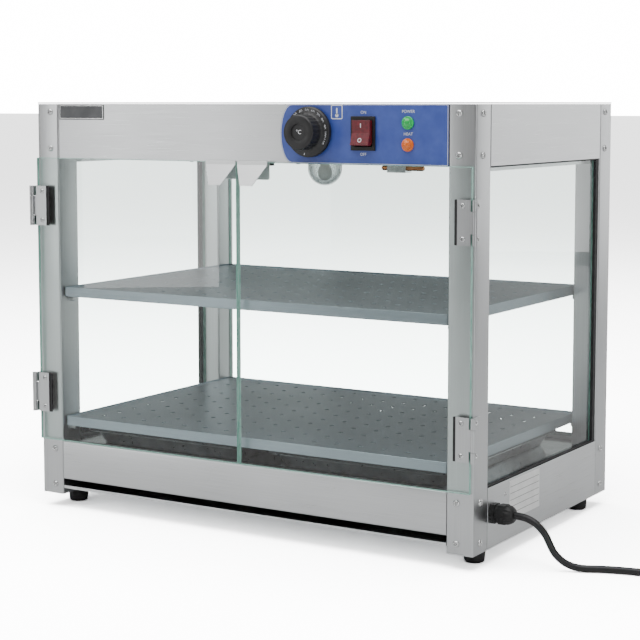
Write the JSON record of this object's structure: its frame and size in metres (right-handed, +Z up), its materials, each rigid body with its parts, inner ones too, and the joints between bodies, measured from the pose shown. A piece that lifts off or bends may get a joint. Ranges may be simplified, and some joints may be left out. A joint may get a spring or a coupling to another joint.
{
  "type": "hot food display case",
  "caption": "Countertop heated food display case: steel post frame, glass walls, hinged front doors, lift-out shelves, water trays, control header and cord.",
  "frame": {"origin": "under the middle of the object's bounding box without the free cord, on the surface it stands on", "axes": "+Z up, +X to the right as seen from the front, -Y towards the user, who faces the doors and the controls"},
  "size_m": [0.8452, 0.372, 0.466],
  "materials": {
    "brushed_steel": "brushed stainless sheet",
    "bright_steel": "bright stainless",
    "shelf_steel": "perforated stainless sheet",
    "float_glass": "clear float glass with green edges",
    "lamp_glass": "clear moulded glass",
    "black_rubber": "matt black rubber and PVC",
    "black_plastic": "moulded black plastic",
    "blue_overlay": "printed blue film",
    "red_rocker": "translucent dark red plastic",
    "green_lens": "translucent green plastic",
    "amber_lens": "translucent orange plastic",
    "white_ceramic": "unglazed ceramic",
    "thermostat_metal": "plain metal housing",
    "copper": "drawn copper",
    "element_sheath": "heat-darkened steel sheath"
  },
  "bodies": {
    "case": {"front_left_post": "brushed_steel", "front_right_post": "brushed_steel", "rear_left_post": "brushed_steel", "rear_right_post": "brushed_steel", "top_cover": "brushed_steel", "header_front_panel": "brushed_steel", "header_rear_panel": "brushed_steel", "header_left_panel": "brushed_steel", "header_right_panel": "brushed_steel", "base_front_panel": "brushed_steel", "base_rear_panel": "brushed_steel", "base_left_panel": "brushed_steel", "base_right_panel": "brushed_steel", "bottom_plate": "brushed_steel", "ceiling_panel": "bright_steel", "deck_plate": "bright_steel", "probe_bracket": "bright_steel", "upper_left_post_leaf": "bright_steel", "upper_right_post_leaf": "bright_steel", "lower_left_post_leaf": "bright_steel", "lower_right_post_leaf": "bright_steel", "left_glass": "float_glass", "right_glass": "float_glass", "rear_glass": "float_glass", "lamp_cover": "lamp_glass", "lamp_bulb": "lamp_glass", "left_glass_seal": "black_rubber", "right_glass_seal": "black_rubber", "front_left_foot": "black_rubber", "front_right_foot": "black_rubber", "rear_left_foot": "black_rubber", "rear_right_foot": "black_rubber", "power_cord": "black_rubber", "cord_coil": "black_rubber", "power_plug": "black_rubber", "switch_housing": "black_plastic", "cable_gland": "black_plastic", "magnetic_catch": "black_plastic", "control_overlay": "blue_overlay", "power_lens": "green_lens", "heat_lens": "amber_lens", "lamp_holder": "white_ceramic", "terminal_block": "white_ceramic", "thermostat_body": "thermostat_metal", "thermostat_probe": "copper", "heating_element": "element_sheath"},
    "left_door": {"left_door_glass": "float_glass", "left_door_pull": "bright_steel", "upper_left_door_leaf": "bright_steel", "lower_left_door_leaf": "bright_steel"},
    "right_door": {"right_door_glass": "float_glass", "right_door_pull": "bright_steel", "upper_right_door_leaf": "bright_steel", "lower_right_door_leaf": "bright_steel"},
    "knob": {"thermostat_knob": "black_plastic"},
    "rocker": {"switch_rocker": "red_rocker"},
    "upper_shelf": {"upper_shelf": "shelf_steel"},
    "lower_shelf": {"lower_shelf": "shelf_steel"},
    "left_tray": {"left_tray": "bright_steel"},
    "right_tray": {"right_tray": "bright_steel"}
  },
  "joints": [
    {"name": "left_door_hinge", "type": "hinge", "parent": "case", "child": "left_door", "pos_m": [-0.2808, -0.1695, 0.2415], "axis": [0, 0, -1], "range_deg": [0, 180]},
    {"name": "right_door_hinge", "type": "hinge", "parent": "case", "child": "right_door", "pos_m": [0.2808, -0.1695, 0.2415], "axis": [0, 0, 1], "range_deg": [0, 180]},
    {"name": "knob_turn", "type": "hinge", "parent": "case", "child": "knob", "pos_m": [0.0884, -0.1623, 0.4355], "axis": [0, 1, 0], "range_deg": [0, 290]},
    {"name": "rocker_tilt", "type": "hinge", "parent": "case", "child": "rocker", "pos_m": [0.1513, -0.1625, 0.4345], "axis": [1, 0, 0], "range_deg": [0, 16]},
    {"name": "upper_shelf_lift", "type": "slide", "parent": "case", "child": "upper_shelf", "axis": [0, 0, 1], "range_m": [0, 0.02]},
    {"name": "lower_shelf_lift", "type": "slide", "parent": "case", "child": "lower_shelf", "axis": [0, 0, 1], "range_m": [0, 0.02]},
    {"name": "left_tray_slide", "type": "slide", "parent": "case", "child": "left_tray", "axis": [0, -1, 0], "range_m": [0, 0.018]},
    {"name": "right_tray_slide", "type": "slide", "parent": "case", "child": "right_tray", "axis": [0, -1, 0], "range_m": [0, 0.018]}
  ]
}
